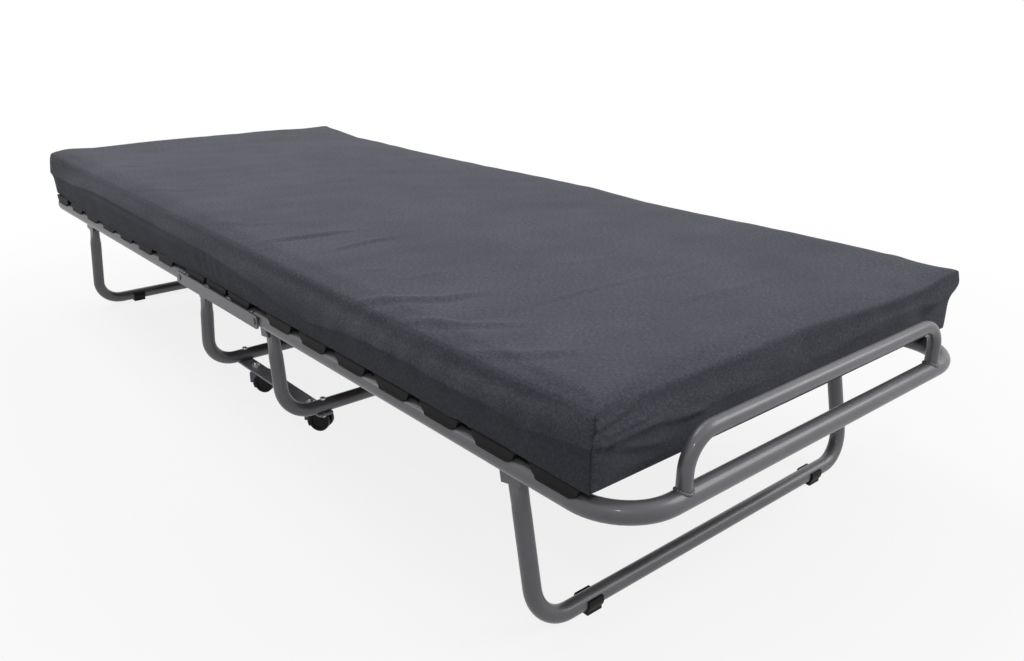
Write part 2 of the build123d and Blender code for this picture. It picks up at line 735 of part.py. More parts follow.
def caster_wheels(x, y):
    """Two wheels, one on each side of the hood's web, with blind bores and dished faces."""
    axle_x = x + caster_trail
    inner = hood_web / 2 + piece_gap
    outer = inner + wheel_width
    with BuildPart() as wheels:
        for side in (-1, 1):
            low, high = sorted((y + side * inner, y + side * outer))
            cylinder_along_y(axle_x, wheel_r, wheel_r, low, high)
        rims = wheels.edges().filter_by(GeomType.CIRCLE)
        fillet(rims, wheel_edge_r)
        for side in (-1, 1):
            low, high = sorted((y + side * outer, y + side * (outer - wheel_dish_depth)))
            cylinder_along_y(axle_x, wheel_r, wheel_dish_r, low, high, mode=Mode.SUBTRACT)
            low, high = sorted((y + side * inner, y + side * (outer - wheel_skin)))
            cylinder_along_y(axle_x, wheel_r, axle_r + running_gap, low, high, mode=Mode.SUBTRACT)
    return wheels


def turned_on_stem(builder, x, y):
    """The piece turned about the caster's stem, as it stands after the bed was rolled into place."""
    with BuildPart() as turned:
        add(builder.part.rotate(Axis((x, y, 0), (0, 0, 1)), caster_turn))
    return turned


for number, (x, y) in enumerate(stem_places, start=1):
    hood = turned_on_stem(caster_hood(x, y), x, y)
    finish(hood, f"caster_hood_{number}")
    axle = turned_on_stem(caster_axle(x, y), x, y)
    finish(axle, f"caster_axle_{number}")
    wheels = turned_on_stem(caster_wheels(x, y), x, y)
    finish(wheels, f"caster_wheels_{number}")


# Mattress: crowned on top, with a ridge along its sides and rounded top edges
def mattress_outline(half_span, rise):
    """Closed outline of a cross-section, up from the mattress bottom; rise is its crown."""
    ridge = mattress_thickness * side_ridge_share
    edge_top = mattress_thickness - rise
    shoulder = edge_top - top_edge_drop
    side_x = half_span - side_top_inset
    with BuildLine() as outline:
        for side in (-1, 1):
            Line((0, 0), (side * (half_span - side_bottom_inset - bottom_edge_r), 0))
            RadiusArc(
                (side * (half_span - side_bottom_inset - bottom_edge_r), 0),
                (side * (half_span - side_bottom_inset), bottom_edge_r),
                -side * bottom_edge_r,
            )
            SagittaArc(
                (side * (half_span - side_bottom_inset), bottom_edge_r),
                (side * half_span, ridge),
                side * side_bulge,
            )
            SagittaArc((side * half_span, ridge), (side * side_x, shoulder), side * side_bulge)
            RadiusArc(
                (side * side_x, shoulder),
                (side * (side_x - top_edge_inset), edge_top),
                -side * top_edge_drop,
            )
        ThreePointArc(
            (-side_x + top_edge_inset, edge_top), (0, mattress_thickness), (side_x - top_edge_inset, edge_top)
        )
    return outline


with BuildPart() as whole_mattress:
    across_line = mattress_outline(mattress_width / 2, crown)
    with BuildSketch(Plane(origin=(0, 0, mattress_bottom), x_dir=(0, 1, 0), z_dir=(1, 0, 0))) as across:
        make_face(across_line.edges())
    extrude(across.sketch, amount=mattress_length / 2 + overrun, both=True)
    along_line = mattress_outline(mattress_length / 2, crown / 2)
    with BuildSketch(Plane(origin=(0, 0, mattress_bottom), x_dir=(1, 0, 0), z_dir=(0, -1, 0))) as along:
        make_face(along_line.edges())
    extrude(along.sketch, amount=mattress_width / 2 + overrun, both=True, mode=Mode.INTERSECT)
    with BuildSketch(Plane.XY.offset(mattress_bottom)) as plan:
        RectangleRounded(
            mattress_length + 2 * corner_past_ridge, mattress_width + 2 * corner_past_ridge, mattress_corner_r
        )
    extrude(plan.sketch, amount=mattress_thickness, mode=Mode.INTERSECT)

mattress_split = hinge_x + mattress_split_past_hinge
with BuildPart() as mattress_foot:
    add(whole_mattress.part)
    split(bisect_by=Plane.YZ.offset(mattress_split), keep=Keep.TOP)
finish(mattress_foot, "mattress_foot")
mattress_head = mirrored(mattress_foot, Plane.YZ)
finish(mattress_head, "mattress_head")
with BuildPart() as mattress_bend_foot:
    add(whole_mattress.part)
    split(bisect_by=Plane.YZ.offset(mattress_split), keep=Keep.BOTTOM)
    split(bisect_by=Plane.YZ, keep=Keep.TOP)
finish(mattress_bend_foot, "mattress_bend_foot")
mattress_bend_head = mirrored(mattress_bend_foot, Plane.YZ)
finish(mattress_bend_head, "mattress_bend_head")
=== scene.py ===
import json
from math import cos, pi, radians, sin

import bpy
import numpy as np
from mathutils import Matrix, Vector


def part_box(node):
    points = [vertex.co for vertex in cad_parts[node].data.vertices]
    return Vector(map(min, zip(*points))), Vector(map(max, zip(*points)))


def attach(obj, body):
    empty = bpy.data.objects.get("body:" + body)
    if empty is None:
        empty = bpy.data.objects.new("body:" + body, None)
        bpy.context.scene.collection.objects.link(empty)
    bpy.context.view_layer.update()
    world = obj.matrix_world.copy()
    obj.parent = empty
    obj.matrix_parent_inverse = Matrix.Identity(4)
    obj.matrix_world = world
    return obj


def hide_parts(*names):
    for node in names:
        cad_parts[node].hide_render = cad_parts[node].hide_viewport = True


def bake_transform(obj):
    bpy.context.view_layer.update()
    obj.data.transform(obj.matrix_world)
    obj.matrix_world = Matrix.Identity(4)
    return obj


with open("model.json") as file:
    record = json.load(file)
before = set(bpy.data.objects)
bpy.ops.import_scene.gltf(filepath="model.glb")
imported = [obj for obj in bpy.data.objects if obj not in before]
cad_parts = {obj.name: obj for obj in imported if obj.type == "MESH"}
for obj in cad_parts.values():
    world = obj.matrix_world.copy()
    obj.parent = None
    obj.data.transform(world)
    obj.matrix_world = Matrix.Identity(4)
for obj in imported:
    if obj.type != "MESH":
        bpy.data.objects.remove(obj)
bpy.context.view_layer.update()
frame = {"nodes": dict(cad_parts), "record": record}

# A folding guest bed: grey powder-coated tube, slats in black holders, small casters and
# a charcoal foam mattress.  Metres, X along the bed with the foot end at +X, Z up.

MM = 0.001

# Camera at the photograph's viewpoint
camera_place = (1.5481, -1.0353, 0.8036)
camera_yaw = radians(48.96)
camera_pitch = radians(20.94)
camera_roll = radians(0.69)
camera_lens = 32.54
sensor_width = 36.0

# Places taken from the frame
foot_pad_low, foot_pad_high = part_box("mattress_foot")
rail_low, rail_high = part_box("foot_frame_tube")
handle_low, handle_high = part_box("handle")
tube_z = (rail_low.z + rail_high.z) / 2
tube_r = (rail_high.z - rail_low.z) / 2
rail_x = rail_high.x - tube_r

# Mattress, in millimetres: its overall sizes come from the frame, and its tables are pairs of place and value
pad_half_length = foot_pad_high.x / MM
pad_half_width = foot_pad_high.y / MM
pad_bottom = foot_pad_low.z / MM
pad_thickness = (foot_pad_high.z - foot_pad_low.z) / MM
lattice_step = 11
fine_to_y = -190  # from the near side as far as this, the lattice step is halved
edge_steps = (2.2, 5.5)  # places of the rows next to each edge
side_row_step = 5
side_rows_end = 45
ridge_row = 3  # the two rows next to the ridge are this far from it
edge_r = 3.5
crown = 2.0
rim_round = 3.4
rim_round_reach = 8
sim_cap = 3.0
sim_frames = 14

# The sides' shift fades over the top within this distance, which grows between these shares of the thickness
side_shift_reach = 60
side_shift_shares = (0.3, 0.9)

# Height of the ridge that runs round the sides, along the near side
ridge_heights = (
    (-950, 50), (-784, 53), (-571, 62), (-333, 59), (-178, 58), (-17, 58), (160, 48), (282, 34),
    (378, 32), (470, 48), (623, 52), (701, 48), (802, 52), (854, 46), (944, 58),
)
# How far it stands out along the sides, and at both ends, where the head end keeps a share of it
ridge_out = ((-950, 1), (-880, 4), (-740, 8), (950, 8))
end_ridge_out = 8.0
head_ridge_share = 0.4
# How far the sides step in right under it, within what share of the lower half, and how far they lean in below
under_ridge = 4.0
under_ridge_reach = 0.05
lower_tilt = 4.5
# The share of the ridge that is left at the far foot corner, and how far round the corner that goes
far_corner_share = 0.2
far_corner_width = 70
# How far the top falls softly towards its near rim, and how far in it starts to, along the bed; then at the others
rim_fall = ((-950, 8), (-300, 7.5), (0, 5), (950, 3.8))
rim_reach = ((-950, 60), (-300, 56), (0, 42), (950, 36))
other_rim_fall = 2.0
other_rim_reach = 30
# Lean of the near side's upper half, along the bed, and of the far side's and the head end's
side_lean = ((-950, 6), (-880, 12), (-740, 20), (-500, 20), (0, 16), (400, 14), (950, 12))
far_lean = 5
head_lean = 6
# Lean of the foot end's upper half, and the share of the ridge that it keeps, across the bed
foot_lean = ((-400, 10), (-100, 10), (0, 14), (140, 3), (400, 0))
foot_ridge_share = ((-400, 0.9), (-250, 0.5), (0, 0.25), (400, 0.15))
# Rise of the rims over the flat top, at the head and foot across the bed and at the far side along it, and how wide
# each rise is
head_rim_width = 150
foot_rim_width = 130
far_rim_width = 80
head_rim = (
    (-400, 9), (-300, 4), (-220, 6), (-144, 7.5), (-50, 7.5), (50, 6), (141, 5.5), (220, 3), (299, -0.5),
    (360, -2), (400, -4),
)
foot_rim = ((-400, 3), (-150, 3), (0, 1), (124, 0), (237, -3), (330, -5), (400, 0))
far_rim = (
    (-950, 3), (-870, -3), (-777, -12), (-600, -12), (-400, -10.5), (-149, -5.5), (27, 0), (185, 2), (320, -1),
    (455, 1.4), (600, 5.7), (740, 8.4), (865, 9), (920, 3.4), (950, 2.2),
)
# The share of a side's height that follows its hem, and how far the cover hangs below the foam, along the near side
hem_share = 0.4
hem_drop = (
    (-950, 1), (-903, 1), (-788, 5), (-558, 10), (-357, 9), (-247, 1), (-182, 6), (-39, -2), (82, -2),
    (336, -2), (508, -1), (691, 2), (764, -3), (823, 1), (950, 2),
)
# A fold's valley beside its crest, as shares of its height and width, the share of its length over which it rises,
# and where it starts to fade
valley_share = 0.45
valley_offset = 1.9
fold_rise = 0.35
fold_fade = 0.55
# Folds: height, half width, share left at the start, and the line they follow over the top
top_folds = (
    (3.2, 7, 0.2, ((134, -377), (156, -296), (178, -184))),
    (2.4, 7, 0.2, ((260, -323), (250, -231), (255, -144))),
    (0.9, 8, 0.2, ((379, -335), (402, -282))),
    (1.0, 8, 0.2, ((459, -309), (462, -220))),
    (3.0, 9, 0.9, ((479, -397), (526, -355), (564, -308), (590, -215))),
    (2.4, 9, 0.9, ((591, -389), (660, -350), (735, -258))),
    (2.0, 10, 0.9, ((729, -393), (790, -356), (837, -276))),
    (1.1, 6, 0.3, ((659, -296), (668, -110), (674, 4), (662, 148))),
    (0.8, 6, 0.2, ((684, -40), (690, 60), (678, 190))),
    (0.7, 8, 0.2, ((540, -96), (588, 74))),
    (0.8, 9, 0.2, ((-226, -99), (-183, 62))),
    (1.2, 7, 0.2, ((804, -138), (782, -46), (795, 59), (794, 205))),
    (0.8, 6, 0.2, ((824, -60), (801, -22), (811, 138))),
    (0.7, 8, 0.2, ((675, 223), (696, 280))),
    (0.9, 10, 0.5, ((-60, -385), (20, -330), (60, -240))),
    (0.9, 10, 0.5, ((-420, -390), (-330, -320), (-280, -230))),
    (0.8, 10, 0.5, ((-700, -385), (-640, -290), (-560, -210))),
)
# The same over the foot end, by distance across the bed and height over the floor
foot_folds = (
    (3.4, 5.5, 0.8, ((-397, 359), (-360, 367), (-321, 379))),
    (3.6, 5, 0.8, ((-386, 333), (-320, 338), (-264, 339))),
    (2.4, 4.5, 0.6, ((-378, 344), (-307, 352))),
    (2.8, 5, 0.6, ((-372, 326), (-320, 314), (-269, 308))),
    (4.2, 5, 0.3, ((-280, 330), (-240, 331), (-205, 328))),
    (3.0, 12, 0.3, ((-120, 345), (-60, 352), (10, 350))),
    (3.0, 12, 0.3, ((40, 335), (110, 345), (190, 352))),
    (6.0, 14, 0.9, ((396, 360), (350, 348), (304, 329))),
)
# Soft dents of the top, the sides and the ends: how many waves, then height, seed and least wavelength, and how far
# from the rims they fade
dent_waves = 9
top_dents = (0.5, 5, 70)
side_dents = (0.7, 11, 60)
end_dents = (0.8, 23, 55)
top_dent_rim = 20
side_dent_rim = 15
# Scallops of the sides' upper half, where the cover pulls up between its folds: they rise and fade along the bed
# between the first two and the last two of these places
scallop_start = 372
scallop_pitch = 62
scallop_depth = 0.8
scallop_places = (300, 420, 860, 930)
# Narrow upright streaks of the sides' lower half, near the middle of the bed
streak_depth = 0.45
streak_pitch = 34
streak_x = 10
streak_spread = 130
# The far foot corner, drawn out to an ear: how far at the top and at the bottom, and how far along both sides
far_corner_ear = 24
far_corner_ear_low = 10
ear_width = 50
ear_reach = 70
# How far from a sewn corner its seam is dressed, with painted shade within 2 mm of it and a row of stitches
seam_reach = 14


def linear(hex_colour):
    """An sRGB hex colour as linear RGBA: c / 12.92 when dark, else ((c + 0.055) / 1.055) ** 2.4."""
    channels = [int(hex_colour[i : i + 2], 16) / 255 for i in (1, 3, 5)]
    return [c / 12.92 if c <= 0.04045 else ((c + 0.055) / 1.055) ** 2.4 for c in channels] + [1.0]


def add_node(material, kind, inputs=None, **settings):
    """Adds a node: settings are its properties, and inputs gives each socket a value or a link."""
    made = material.node_tree.nodes.new(kind)
    for name, value in settings.items():
        setattr(made, name, value)
    for key, value in (inputs or {}).items():
        if isinstance(value, bpy.types.NodeSocket):
            material.node_tree.links.new(value, made.inputs[key])
        else:
            made.inputs[key].default_value = value
    return made


def new_material(name, **sockets):
    """A material and its Principled shader, with constants set on the shader's own sockets."""
    material = bpy.data.materials.new(name)
    material.use_nodes = True
    shader = material.node_tree.nodes["Principled BSDF"]
    for key, value in sockets.items():
        shader.inputs[key.replace("_", " ")].default_value = value
    return material, shader


def link(material, source, target):
    material.node_tree.links.new(source, target)


def ramp_colours(made, stops):
    """Sets a Color Ramp's stops from pairs of position and hex colour."""
    ramp = made.color_ramp
    while len(ramp.elements) < len(stops):
        ramp.elements.new(0.5)
    for element, (position, colour) in zip(ramp.elements, stops):
        element.position = position
        element.color = linear(colour)


# Materials


def woven_polyester():
    """Charcoal woven polyester cover: matt, a melange of dark and light threads, soft sheen at grazing angles."""
    material, shader = new_material(
        "woven_polyester", Roughness=0.92, Sheen_Weight=0.08, Sheen_Roughness=0.5, Specular_IOR_Level=0.2
    )
    thread = 2.2 * MM  # the real threads are 0.5 mm apart, drawn coarser so that the weave shows
    place = add_node(material, "ShaderNodeUVMap", uv_map="weave")
    split = add_node(material, "ShaderNodeSeparateXYZ", {0: place.outputs[0]})
    heights = []
    for axis in (0, 1):
        turn = add_node(
            material, "ShaderNodeMath", {0: split.outputs[axis], 1: 2 * pi / thread}, operation="MULTIPLY"
        )
        wave = add_node(material, "ShaderNodeMath", {0: turn.outputs[0]}, operation="SINE")
        heights.append(wave.outputs[0])
    weave = add_node(material, "ShaderNodeMath", {0: heights[0], 1: heights[1]}, operation="MULTIPLY")
    yarns = []
    for stretch in ((1 / (1.8 * MM), 1 / (7 * MM), 1), (1 / (7 * MM), 1 / (1.8 * MM), 1)):
        laid = add_node(
            material, "ShaderNodeVectorMath", {0: place.outputs[0], 1: stretch}, operation="MULTIPLY"
        )
        slub = add_node(
            material, "ShaderNodeTexNoise", {"Vector": laid.outputs[0], "Scale": 1.0, "Detail": 2.0}
        )
        yarns.append(slub.outputs[0])
    melange = add_node(material, "ShaderNodeMath", {0: yarns[0], 1: yarns[1]}, operation="ADD")
    coords = add_node(material, "ShaderNodeTexCoord")
    patch = add_node(
        material,
        "ShaderNodeTexNoise",
        {"Vector": coords.outputs["Object"], "Scale": 1 / (160 * MM), "Detail": 3.0, "Roughness": 0.6},
    )
    drift = add_node(
        material, "ShaderNodeMath", {0: patch.outputs[0], 1: 0.45, 2: melange.outputs[0]}, operation="MULTIPLY_ADD"
    )
    mottle = add_node(
        material, "ShaderNodeMath", {0: weave.outputs[0], 1: 0.05, 2: drift.outputs[0]}, operation="MULTIPLY_ADD"
    )
    shade = add_node(
        material, "ShaderNodeMapRange", {"Value": mottle.outputs[0], "From Min": 0.75, "From Max": 1.7}
    )
    colours = add_node(material, "ShaderNodeValToRGB", {0: shade.outputs[0]})
    ramp_colours(colours, ((0.0, "#41434b"), (0.5, "#585a63"), (1.0, "#75767e")))
    # Painted shade: within 2 mm of each sewn corner the colour darkens to 0.6, standing in for the shade in the seam's
    # groove
    seam = add_node(material, "ShaderNodeAttribute", attribute_name="near_seam")
    seam_groove_shade = add_node(
        material,
        "ShaderNodeMapRange",
        {
            "Value": seam.outputs["Fac"],
            "From Min": (seam_reach - 2) * MM,
            "From Max": seam_reach * MM,
            "To Min": 1.0,
            "To Max": 0.6,
        },
    )
    shaded = add_node(
        material, "ShaderNodeVectorMath", {0: colours.outputs[0], 1: seam_groove_shade.outputs[0]}, operation="MULTIPLY"
    )
    link(material, shaded.outputs[0], shader.inputs["Base Color"])
    relief = add_node(
        material, "ShaderNodeMath", {0: weave.outputs[0], 1: 0.5, 2: melange.outputs[0]}, operation="MULTIPLY_ADD"
    )
    # a row of stitches 5 mm apart, 3.5 mm from the seam
    row = add_node(
        material,
        "ShaderNodeMath",
        {0: seam.outputs["Fac"], 1: (seam_reach - 3.5) * MM, 2: 0.8 * MM},
        operation="COMPARE",
    )
    place_up = add_node(material, "ShaderNodeSeparateXYZ", {0: coords.outputs["Object"]})
    stitch = add_node(
        material, "ShaderNodeMath", {0: place_up.outputs["Z"], 1: 2 * pi / (5 * MM)}, operation="MULTIPLY"
    )
    stitch = add_node(material, "ShaderNodeMath", {0: stitch.outputs[0]}, operation="SINE")
    stitch = add_node(material, "ShaderNodeMath", {0: stitch.outputs[0], 1: row.outputs[0]}, operation="MULTIPLY")
    relief = add_node(
        material, "ShaderNodeMath", {0: stitch.outputs[0], 1: 2.0, 2: relief.outputs[0]}, operation="MULTIPLY_ADD"
    )
    bump = add_node(
        material, "ShaderNodeBump", {"Height": relief.outputs[0], "Strength": 0.6, "Distance": 0.35 * MM}
    )
    link(material, bump.outputs[0], shader.inputs["Normal"])
    return material


def powder_coated_steel():
    """Silver-grey powder coat on steel tube: satin, with a fine orange-peel surface and a metal flake glint."""
    material, shader = new_material(
        "powder_coated_steel", Metallic=0.2, Roughness=0.48, Coat_Weight=0.34, Coat_Roughness=0.12
    )
    coords = add_node(material, "ShaderNodeTexCoord")
    cloud = add_node(
        material,
        "ShaderNodeTexNoise",
        {"Vector": coords.outputs["Object"], "Scale": 1 / (60 * MM), "Detail": 4.0, "Roughness": 0.6},
    )
    colours = add_node(material, "ShaderNodeValToRGB", {0: cloud.outputs[0]})
    ramp_colours(colours, ((0.3, "#6b6a6f"), (0.7, "#76757a")))
    link(material, colours.outputs[0], shader.inputs["Base Color"])
    peel = add_node(
        material,
        "ShaderNodeTexNoise",
        {"Vector": coords.outputs["Object"], "Scale": 1 / (1.6 * MM), "Detail": 2.0},
    )
    gloss = add_node(
        material, "ShaderNodeMapRange", {"Value": peel.outputs[0], "To Min": 0.42, "To Max": 0.54}
    )
    link(material, gloss.outputs[0], shader.inputs["Roughness"])
    bump = add_node(
        material, "ShaderNodeBump", {"Height": peel.outputs[0], "Strength": 0.35, "Distance": 0.06 * MM}
    )
    link(material, bump.outputs[0], shader.inputs["Normal"])
    return material


def galvanised_strip():
    """Galvanised steel strip of the caster bars: cool pale grey, satin, with the faint spangle of hot-dip zinc."""
    material, shader = new_material("galvanised_strip", Metallic=0.1, Roughness=0.45)
    coords = add_node(material, "ShaderNodeTexCoord")
    spangle = add_node(
        material, "ShaderNodeTexVoronoi", {"Vector": coords.outputs["Object"], "Scale": 1 / (9 * MM), "Randomness": 1.0}
    )
    colours = add_node(material, "ShaderNodeValToRGB", {0: spangle.outputs["Distance"]})
    ramp_colours(colours, ((0.1, "#9698a4"), (0.8, "#a3a5b0")))
    link(material, colours.outputs[0], shader.inputs["Base Color"])
    gloss = add_node(
        material, "ShaderNodeMapRange", {"Value": spangle.outputs["Distance"], "To Min": 0.38, "To Max": 0.52}
    )
    link(material, gloss.outputs[0], shader.inputs["Roughness"])
    return material


def moulded_plastic(name, dark, light, roughness):
    """Injection-moulded polypropylene: matt, with the fine grain of a spark-eroded mould."""
    material, shader = new_material(name, Roughness=roughness, Specular_IOR_Level=0.15)
    coords = add_node(material, "ShaderNodeTexCoord")
    grain = add_node(
        material,
        "ShaderNodeTexNoise",
        {"Vector": coords.outputs["Object"], "Scale": 1 / (1.2 * MM), "Detail": 3.0},
    )
    cloud = add_node(
        material,
        "ShaderNodeTexNoise",
        {"Vector": coords.outputs["Object"], "Scale": 1 / (25 * MM), "Detail": 3.0},
    )
    colours = add_node(material, "ShaderNodeValToRGB", {0: cloud.outputs[0]})
    ramp_colours(colours, ((0.3, dark), (0.7, light)))
    link(material, colours.outputs[0], shader.inputs["Base Color"])
    bump = add_node(
        material, "ShaderNodeBump", {"Height": grain.outputs[0], "Strength": 0.4, "Distance": 0.08 * MM}
    )
    link(material, bump.outputs[0], shader.inputs["Normal"])
    return material


def zinc_plated_steel():
    """Bright zinc plating on turned steel: metallic, slightly blue, with a faint mottle in tone and gloss."""
    material, shader = new_material("zinc_plated_steel", Metallic=1.0, Roughness=0.32)
    coords = add_node(material, "ShaderNodeTexCoord")
    cloud = add_node(
        material,
        "ShaderNodeTexNoise",
        {"Vector": coords.outputs["Object"], "Scale": 1 / (4 * MM), "Detail": 4.0},
    )
    colours = add_node(material, "ShaderNodeValToRGB", {0: cloud.outputs[0]})
    ramp_colours(colours, ((0.3, "#b9bcc0"), (0.7, "#d2d4d6")))
    link(material, colours.outputs[0], shader.inputs["Base Color"])
    gloss = add_node(
        material, "ShaderNodeMapRange", {"Value": cloud.outputs[0], "To Min": 0.25, "To Max": 0.42}
    )
    link(material, gloss.outputs[0], shader.inputs["Roughness"])
    return material


def birch_plywood():
    """Birch plywood of the slats: pale wood, grain along the slat, darker glue lines at the edges."""
    material, shader = new_material("birch_plywood", Roughness=0.55)
    coords = add_node(material, "ShaderNodeTexCoord")
    laid = add_node(
        material,
        "ShaderNodeMapping",
        {"Vector": coords.outputs["Object"], "Scale": (1 / (4 * MM), 1 / (90 * MM), 1 / (4 * MM))},
    )
    grain = add_node(
        material,
        "ShaderNodeTexNoise",
        {"Vector": laid.outputs[0], "Scale": 1.0, "Detail": 5.0, "Roughness": 0.65, "Distortion": 0.4},
    )
    colours = add_node(material, "ShaderNodeValToRGB", {0: grain.outputs[0]})
    ramp_colours(colours, ((0.25, "#b98f5f"), (0.5, "#cfa878"), (0.8, "#dcbd90")))
    plies = add_node(
        material,
        "ShaderNodeTexWave",
        {"Vector": coords.outputs["Object"], "Scale": 1 / (20 * 1.3 * MM), "Distortion": 0.6},
        bands_direction="Z",
    )
    glue = add_node(
        material, "ShaderNodeMapRange", {"Value": plies.outputs[1], "From Max": 0.25, "To Min": 0.72, "To Max": 1.0}
    )
    tint = add_node(
        material,
        "ShaderNodeVectorMath",
        {0: colours.outputs[0], 1: glue.outputs[0]},
        operation="MULTIPLY",
    )
    link(material, tint.outputs[0], shader.inputs["Base Color"])
    bump = add_node(
        material, "ShaderNodeBump", {"Height": grain.outputs[0], "Strength": 0.4, "Distance": 0.15 * MM}
    )
    link(material, bump.outputs[0], shader.inputs["Normal"])
    return material


cover_fabric = woven_polyester()
tube_paint = powder_coated_steel()
holder_plastic = moulded_plastic("black_polypropylene", "#141614", "#1e211e", 0.6)
glide_plastic = moulded_plastic("dark_polyethylene", "#1a1e1a", "#262b26", 0.55)
hood_plastic = moulded_plastic("grey_polyamide", "#a0a0a6", "#aeaeb4", 0.5)
wheel_plastic = moulded_plastic("black_polyamide", "#17171a", "#222226", 0.45)
plated_steel = zinc_plated_steel()
slat_wood = birch_plywood()
bar_strip = galvanised_strip()

node_finishes = {
    "frame_steel": tube_paint,
    "zinc_steel": plated_steel,
    "slat_plywood": slat_wood,
    "slat_holder": holder_plastic,
    "glide_plastic": glide_plastic,
    "caster_hood": hood_plastic,
    "caster_wheel": wheel_plastic,
    "mattress_cover": cover_fabric,
}
caster_bars = ("near_caster_bar", "far_caster_bar")
painted_pins = ("hinge_pins", "centre_leg_rivets", "head_leg_pins", "foot_leg_pins")
for subpart in frame["record"]["subparts"]:
    finish = node_finishes[subpart["material_slot"]]
    if subpart["node"] in painted_pins:
        finish = tube_paint
    if subpart["node"] in caster_bars:
        finish = bar_strip
    mesh = frame["nodes"][subpart["node"]].data
    mesh.materials.clear()
    mesh.materials.append(finish)


# Mattress


def stations(half, fine_to):
    """Lattice places from -half to half: even steps, halved as far as fine_to, with closer ones at both ends."""
    inner = half - lattice_step
    even = np.linspace(-inner, inner, 2 * round(inner / lattice_step) + 1)
    between = (even[1:] + even[:-1]) / 2
    ends = half - np.array([0, *edge_steps])
    return np.sort(np.concatenate([-ends, even, between[between < fine_to], ends]))


def lattice_box(lines):
    """The surface points of the lattice with the given places on its three axes, and its outward quads."""
    counts = [len(places) for places in lines]
    index = np.arange(np.prod(counts)).reshape(counts)
    quads = []
    for axis in range(3):
        for end in (0, -1):
            face = np.take(index, end, axis=axis)
            ring = np.stack([face[:-1, :-1], face[1:, :-1], face[1:, 1:], face[:-1, 1:]], axis=-1).reshape(-1, 4)
            outward = (end == -1) == (axis != 1)
            quads.append(ring if outward else ring[:, ::-1])
    quads = np.concatenate(quads)
    used, quads = np.unique(quads, return_inverse=True)
    steps = np.unravel_index(used, counts)
    places = np.stack([line[step] for line, step in zip(lines, steps)], axis=-1)
    return places, quads.reshape(-1, 4)


def table(pairs, t):
    """Linear reading of a table of place and value."""
    places, values = zip(*pairs)
    return np.interp(t, places, values)


def smooth_step(t, low, high):
    """0 below low and 1 above high, with a cubic in between."""
    s = np.clip((t - low) / (high - low), 0, 1)
    return s * s * (3 - 2 * s)


def bump_at(t, centre, width):
    """A smooth hump: exp of minus the squared distance from the centre over the width."""
    return np.exp(-(((t - centre) / width) ** 2))


def pad_form(rest):
    """The resting form of the mattress over its plain box, whose points are given by x, y and height.

    The rows of each side slide up or down so that the middle one follows the ridge.  The box's edges are
    rounded by pulling each point towards an inner box, to at most the edge radius from it.  The sides stand
    out at the ridge, lean in above it and step in below it, and that shift dies away over the top and the
    bottom.  The top rises to a crown and falls softly, then roundly, to its rim.
    """
    x, y, h = rest.T
    far_share = (y / pad_half_width + 1) / 2
    ridge = table(ridge_heights, x) * (1 - far_share) + table(ridge_heights, -x) * far_share
    middle = pad_thickness / 2
    h = np.where(h < middle, h * ridge / middle, ridge + (h - middle) * (pad_thickness - ridge) / middle)
    half = np.array([pad_half_length, pad_half_width, middle])
    centred = np.stack([x, y, h - middle], axis=-1)
    inner = np.clip(centred, edge_r - half, half - edge_r)
    outside = centred - inner
    length = np.linalg.norm(outside, axis=1, keepdims=True)
    centred = inner + outside * edge_r / np.maximum(length, edge_r)
    px, py, ph = centred[:, 0], centred[:, 1], centred[:, 2] + middle
    above = np.clip((h - ridge) / (pad_thickness - ridge), 0, 1)
    below = np.clip(1 - h / ridge, 0, 1)
    low_share, high_share = side_shift_shares
    reach = side_shift_reach * smooth_step(h, low_share * pad_thickness, high_share * pad_thickness) + lattice_step
    step_in = under_ridge * (1 - np.exp(-below / under_ridge_reach)) + lower_tilt * below
    at_foot = x > 0
    share = np.where(at_foot, table(foot_ridge_share, y), head_ridge_share)
    end_lean = np.where(at_foot, table(foot_lean, y), head_lean)
    shift_x = (end_ridge_out - step_in) * share - (end_lean + end_ridge_out * (share - 1)) * above
    at_far_corner = bump_at(x, pad_half_length, far_corner_width) * (y > 0)
    side_out = table(ridge_out, x) - step_in
    across_lean = np.where(y < 0, table(side_lean, x), far_lean)
    shift_y = side_out * (1 - (1 - far_corner_share) * at_far_corner) - across_lean * above
    px = px + np.sign(x) * shift_x * smooth_step(np.abs(x), pad_half_length - reach, pad_half_length)
    py = py + np.sign(y) * shift_y * smooth_step(np.abs(y), pad_half_width - reach, pad_half_width)
    inset = np.minimum(pad_half_length - np.abs(x), pad_half_width - np.abs(y))
    near_fall = table(rim_fall, x) * np.clip(1 - (pad_half_width + y) / table(rim_reach, x), 0, 1) ** 2
    other_inset = np.minimum(pad_half_length - np.abs(x), pad_half_width - y)
    other_fall = other_rim_fall * np.clip(1 - other_inset / other_rim_reach, 0, 1) ** 2
    soft = np.maximum(near_fall, other_fall) + rim_round * np.exp(-inset / rim_round_reach)
    swell = crown * (1 - (x / pad_half_length) ** 4) * (1 - (y / pad_half_width) ** 2)
    rims = table(head_rim, y) * bump_at(x, -pad_half_length, head_rim_width)
    rims = rims + table(foot_rim, y) * bump_at(x, pad_half_length, foot_rim_width)
    rims = rims + table(far_rim, x) * bump_at(y, pad_half_width, far_rim_width)
    ph = ph + (swell + rims - soft) * smooth_step(h, ridge, pad_thickness)
    return np.stack([px, py, ph + pad_bottom], axis=-1)


